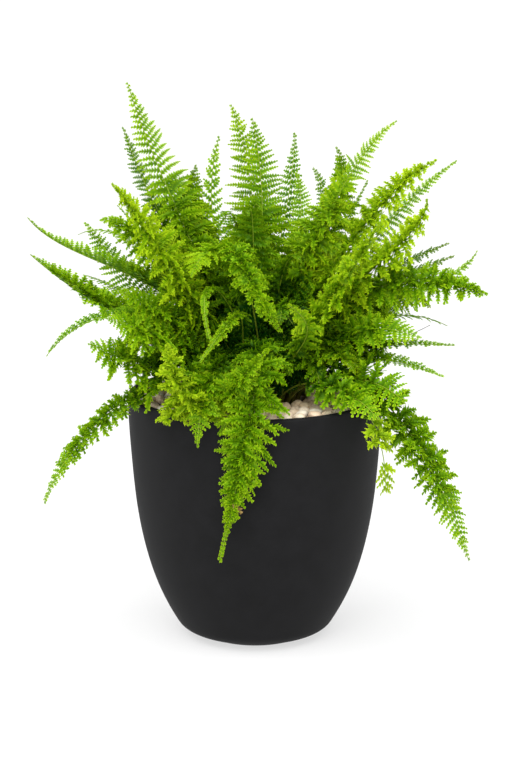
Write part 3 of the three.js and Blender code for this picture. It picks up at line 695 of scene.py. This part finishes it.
def pinna(length, width, count, draw, puff, droop, curve):
    """One pinna along X with its face up: points, triangles, and each point's share out and along."""
    knots = length * np.linspace(0, 1, count + 1) ** 0.95
    n = count + 1
    rib = MIDRIB_HALF * np.linspace(1, 0.4, n)
    points = [np.stack([np.tile(knots, 3), np.concatenate([-rib, 0 * rib, rib]),
                        np.concatenate([0 * rib, rib, 0 * rib])], 1)]
    outward, along = [np.full(3 * n, 0.4)], [np.tile(np.linspace(0, 1, n), 3)]
    faces = []
    for i in range(count):
        for a, b in ((i, n + i), (n + i, 2 * n + i), (2 * n + i, i)):
            faces += [(a, b, b + 1), (a, b + 1, a + 1)]
    back, pitch = knots[:-1, None], np.diff(knots)[:, None]
    middle = (back + pitch / 2) / length
    # pinnules are longest a little way out and shrink to the tip
    reach = width * np.minimum(1, 0.62 + middle * 4) * (1 - middle ** (1.8 + 0.3 * puff)) ** 0.8 + 0.4
    outline = CUT + puff * (JOINED - CUT)
    u, v = outline[:, 0], outline[:, 1]
    crisp = 0.1 + 0.42 * puff
    first = 3 * n
    # each is a little larger or smaller, leans to the tip, stands up and is folded along, all by chance
    for edge, stand, share in RUFFLED if puff > 0.5 else FLAT:
        size = share * reach * (1 + (0.14 + 0.16 * puff) * draw.uniform(-1, 1, (count, 1)))
        lean = draw.uniform(0.15, 0.55, (count, 1)) + 0.15 * puff
        angle = stand + crisp * draw.uniform(-1, 1, (count, 1))
        fold = crisp * 0.6 * draw.uniform(-1, 1, (count, 1))
        x = back + u * pitch + lean * v * size
        y = edge * v * size * np.cos(angle)
        z = v * size * (np.sin(angle) + fold * v) + 1.4 * fold * size * (u - 0.5)
        points.append(np.stack([x, y, z], 2).reshape(-1, 3))
        outward.append(np.tile(v, count))
        along.append(np.tile(u, count))
        fan = PINNULE_FAN if edge == -1 else PINNULE_FAN[:, ::-1]
        starts = first + len(outline) * np.arange(count)
        faces += (fan + starts[:, None, None]).reshape(-1, 3).tolist()
        first += len(outline) * count
    points = np.concatenate(points)
    share = np.clip(points[:, 0] / length, 0, 1.1)
    points[:, 1] += curve * length * share ** 2
    points[:, 2] -= droop * length * share ** 2
    return points, np.array(faces), np.concatenate(outward), np.concatenate(along)


def pinna_axes(forward, out, top, edge, sweep, rise, pitch):
    """The directions along a pinna, across it and up from its face, from those of the stem."""
    along = math.cos(sweep) * (math.cos(rise) * out + math.sin(rise) * top) + math.sin(sweep) * forward
    lead = forward - (forward @ along) * along
    lead /= np.linalg.norm(lead)
    face_up = np.cross(along, lead) * edge
    face_up *= 1 if face_up @ top > 0 else -1
    return np.stack([along, math.cos(pitch) * lead + math.sin(pitch) * face_up,
                     math.cos(pitch) * face_up - math.sin(pitch) * lead])


POT_CLEAR = np.array([POT_RADIUS + 3 * MM, POT_HEIGHT + 1.5 * MM]) / MM
OVER_WALL = 14  # mm in from the wall's outside, over which a leaf is pushed out and not lifted


def keep_clear(points, leafy):
    """Lifts leaf points that would sink into the pebbles on to them, and pushes others off the wall."""
    far = np.hypot(points[:, 0], points[:, 1])
    low = leafy & (points[:, 2] < POT_CLEAR[1])
    outside = low & (far < POT_CLEAR[0]) & (far > POT_CLEAR[0] - OVER_WALL)
    points[outside, :2] *= (POT_CLEAR[0] / far[outside])[:, None]
    points[low & (far <= POT_CLEAR[0] - OVER_WALL), 2] = POT_CLEAR[1]


# deep, middle and pale green of each kind of leaf
LEAF_TONES = {"fresh": ("#225606", "#79a606", "#c3dd1c"), "mid": ("#124604", "#699a04", "#b1d217"),
              "dark": ("#103602", "#528204", "#8cb010"), "lime": ("#487a0a", "#8eb210", "#c8e022")}
MIDDLING, PALEST = 0.45, 0.95  # how pale a leaf is where the second and the third of these show
leaf_materials = {}
for colour, tones in LEAF_TONES.items():
    leaf, tree, output = new_material(f"living fern leaf, {colour}")
    # thin and faintly waxy: light comes through it yellow, its young tips and edges are paler, and it is
    # darker with painted shade deep in the clump
    own = add_node(tree, "ShaderNodeAttribute", {"attribute_name": "paleness"})
    tone = add_node(tree, "ShaderNodeValToRGB", links={"Fac": own.outputs["Fac"]})
    tone.color_ramp.elements.new(MIDDLING)
    tone.color_ramp.elements[-1].position = PALEST
    for stop, green in zip(tone.color_ramp.elements, tones):
        stop.color = linear(green)
    skin = add_node(tree, "ShaderNodeBsdfPrincipled",
                    {"Roughness": 0.5, "IOR": 1.42, "Specular IOR Level": 0.12},
                    {"Base Color": tone.outputs["Color"]})
    glow = add_node(tree, "ShaderNodeBsdfTranslucent", links={"Color": tone.outputs["Color"]})
    blend = add_node(tree, "ShaderNodeMixShader", {"Fac": 0.25})
    tree.links.new(skin.outputs["BSDF"], blend.inputs[1])
    tree.links.new(glow.outputs["BSDF"], blend.inputs[2])
    tree.links.new(blend.outputs["Shader"], output.inputs["Surface"])
    leaf_materials[colour] = leaf

stem_wax, tree, output = new_material("waxy fern stem")
# pale green above and slightly glossy, turning brown towards the crown
own = add_node(tree, "ShaderNodeAttribute", {"attribute_name": "paleness"})
add_surface(tree, output, {"Roughness": 0.45, "IOR": 1.45, "Specular IOR Level": 0.3},
            {"Base Color": mixed(tree, own.outputs["Fac"], "#4b3a1a", "#809a20")})

dry_leaf, tree, output = new_material("withered fern leaf")
# papery and dull, pinkish brown with a trace of green left along the midribs
own = add_node(tree, "ShaderNodeAttribute", {"attribute_name": "paleness"})
add_surface(tree, output, {"Roughness": 0.8, "IOR": 1.4, "Specular IOR Level": 0.15},
            {"Base Color": mixed(tree, own.outputs["Fac"], "#6f7226", "#b08c5c")})

HEART = np.array((-5, 0, 340))  # the middle of the clump; leaves near it get painted shade, a darker green
HEART_REACH = np.array((150, 125, 100))
HEART_SHADE = 0.95
# how pale a leaf is at its midrib, how much more at the tips of blade and pinna and at its edge, and how
# much more or less by chance; then how much more outside the painted shade of the heart
PALE_MIDRIB = -0.02
PALE_BLADE_TIP, PALE_PINNA_TIP, PALE_EDGE = 0.22, 0.28, 0.46
PALE_CHANCE = 0.1
PALE_OUTSIDE = 0.11
LEAF, STEM, DRY = 0, 1, 2  # the materials of a frond
BARE_STEM, BARE_MOST = 60, 0.3  # mm of stem below the first pinnae, and at most this share of it
BARE_YOUNG = 0.12  # the same share of a young stem
BLADE_END = 0.994  # the share of the stem at which the last pinnae stand
SHORTEST_PINNA = 3.0  # mm
SECOND_FROM = 0.15  # how ruffled a blade is where a second and steeper pair of pinnae sets in,
SECOND_TILT = (0.55, 1.05)  # the radians by which it stands up,
SECOND_SIZE = 0.8  # and its size beside the first
PINNULE_PITCH, PINNULE_PUFF = 3.0, 0.6  # mm between pinnules on a flat pinna, and more on a ruffled one
PINNULES = (3, 14)  # the fewest and the most to each side
FOLDED_WIDER = 1.3
# where stem, leaves and dry leaves start and how far they reach, across the colour map
STEM_ROWS, LEAF_ROWS, DRY_ROWS = (0.0, 0.1), (0.15, 0.75), (0.97, 0.02)
feet = stem_feet(FRONDS + young)
for order, (row, foot) in enumerate(zip(FRONDS + young, feet)):
    name, half, colour, ruffle = row[0], row[8], row[10], row[11]
    habit = USUAL | HABITS.get(name, {})
    draw = np.random.default_rng(order + 11)
    line, ahead, side, up, length = stem_path(row, foot)
    bare = min(BARE_MOST, BARE_STEM / length) if order < len(FRONDS) else BARE_YOUNG

    # the stem, from its socket in the crown to the tip
    stem, share = stem_tube(line, side, up)
    faces = tube_faces(len(share), STEM_SIDES, closed=True)
    made_of = [STEM] * len(faces)
    points, paleness = [stem], [np.repeat(np.clip(share * 2.2, 0, 1), STEM_SIDES)]
    map_rows = [np.tile(STEM_ROWS[0] + np.arange(STEM_SIDES) / STEM_SIDES * STEM_ROWS[1], len(share))]
    count = len(stem)

    # the pinnae, one after the other up both sides, and more of them where the blade is ruffled
    distance = bare * length
    while distance < length * BLADE_END:
        puff = puffiness(distance / length, ruffle)
        rounds = [(-1, 0.0), (1, 0.0)]
        if puff > SECOND_FROM:
            rounds += [(edge, draw.uniform(*SECOND_TILT)) for edge in (-1, 1)]
        for edge, tilt in rounds:
            at = min(0.995, (distance + STAGGER * edge + draw.uniform(-0.8, 0.8)
                             + (0.5 * PINNA_PITCH if tilt else 0)) / length)
            if at < bare or any(start < at < end for start, end in habit["fallen"]):
                continue
            low = min(int(at * (len(line) - 1)), len(line) - 2)
            past = at * (len(line) - 1) - low
            base = line[low] * (1 - past) + line[low + 1] * past
            reach = half_blade(at, bare, half, ruffle, habit["tail"]) * (1 - edge * habit["lopsided"])
            reach = max(SHORTEST_PINNA, reach * draw.uniform(0.84, 1.1) * (SECOND_SIZE if tilt else 1))
            width = pinna_width(reach, pinna_room(at, habit["coarse"], puff), puff)
            width *= FOLDED_WIDER if habit["fold"] else 1
            pinnules = round(reach / habit["coarse"] ** 0.5 / (PINNULE_PITCH + PINNULE_PUFF * puff))
            pinnules = int(np.clip(pinnules, *PINNULES))
            droop = draw.uniform(-0.08, 0.16) + puff * draw.uniform(-0.2, 0.4)
            curve = draw.uniform(0.0, 0.2) - 0.2 * puff * draw.random()
            blade, blade_faces, outward, along = pinna(reach, width, pinnules, draw, puff, droop, curve)
            sweep = (habit["swept"] + math.radians(6 + 22 * at ** 3)
                     + draw.uniform(-0.12, 0.12) * (1 + 1.8 * puff))
            rise = (math.radians(4) + habit["fold"] + puff * (tilt + draw.uniform(-0.22, 0.18))
                    + draw.uniform(-0.1, 0.1))
            pitch = draw.uniform(-0.2, 0.2) + puff * draw.uniform(-0.5, 0.5)
            axes = pinna_axes(ahead[low], side[low] * edge, up[low], edge, sweep, rise, pitch)
            placed = base + blade @ axes
            tip_share = np.clip(blade[:, 0] / reach, 0, 1)
            placed[:, 2] -= habit["sag"] * reach * tip_share ** 2  # its own weight
            points.append(placed)
            paleness.append(np.clip(PALE_MIDRIB + PALE_BLADE_TIP * at ** 2 + PALE_PINNA_TIP * tip_share
                                    + PALE_EDGE * outward ** 1.8
                                    + draw.uniform(-PALE_CHANCE, PALE_CHANCE), 0, 1))
            dry_from, dry_to, dry_share = habit["withered"]
            dying = dry_from < at < dry_to and draw.random() < dry_share
            first_row, row_span = DRY_ROWS if dying else LEAF_ROWS
            map_rows.append(first_row + row_span * np.clip(along, 0, 1))
            faces += (blade_faces + count).tolist()
            made_of += [DRY if dying else LEAF] * len(blade_faces)
            count += len(blade)
        distance += pinna_room(distance / length, habit["coarse"], puff)
    points = np.concatenate(points)
    leafy = np.arange(len(points)) >= len(stem)
    keep_clear(points, leafy)

    frond = mesh_piece("frond_" + name, points * MM, faces, [leaf_materials[colour], stem_wax, dry_leaf])
    frond.data.polygons.foreach_set("material_index", made_of)
    # painted shade: leaves are a darker green the nearer they lie to the middle of the clump
    painted_heart_shade = np.clip(1.15 - np.linalg.norm((points - HEART) / HEART_REACH, axis=1), 0, 1)
    pale = np.concatenate(paleness) + leafy * (PALE_OUTSIDE + habit["shade"] - HEART_SHADE * painted_heart_shade)
    pale = np.clip(pale, 0, 1)
    frond.data.attributes.new("paleness", "FLOAT", "POINT").data.foreach_set("value", pale)
    corners = np.empty(len(frond.data.loops), int)
    frond.data.loops.foreach_get("vertex_index", corners)
    # a map by paleness, so that a copy with pictures for its colours keeps them
    unwrap = np.stack([0.02 + 0.96 * pale, np.concatenate(map_rows)], 1)[corners]
    frond.data.uv_layers.new(name="OFBake").data.foreach_set("uv", unwrap.ravel())
    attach(frond, "root")
    if order < len(FRONDS):
        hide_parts(name)

# --- A dead stalk -------------------------------------------------------------------------------
# The dry, wiry midrib of a frond that dropped its leaflets, left standing in the clump on the right.
STALK_LINE = ((30, -12, 330), (70, -25, 352), (140, -50, 348), (200, -60, 384))
STALK_HALF = (0.9, 0.35)
STALK_RINGS = 24
stalk_thick = np.interp(np.linspace(0, 1, STALK_RINGS), (0, 1), STALK_HALF)
stalk_points = []
for middle, thick in zip(cubic(*STALK_LINE, STALK_RINGS), stalk_thick):
    for turn in np.linspace(0, 2 * math.pi, STEM_SIDES, endpoint=False):
        stalk_points.append((middle + thick * np.array((0, math.cos(turn), math.sin(turn)))) * MM)
dry_stalk, tree, output = new_material("dry fern stalk")
# hard and dull, dark brown with almost no sheen
add_surface(tree, output, {"Base Color": linear("#2c2114"), "Roughness": 0.7, "IOR": 1.45})
stalk_faces = tube_faces(STALK_RINGS, STEM_SIDES, closed=True)
stalk = mesh_piece("dead_stalk", stalk_points, stalk_faces, [dry_stalk])
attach(stalk, "root")
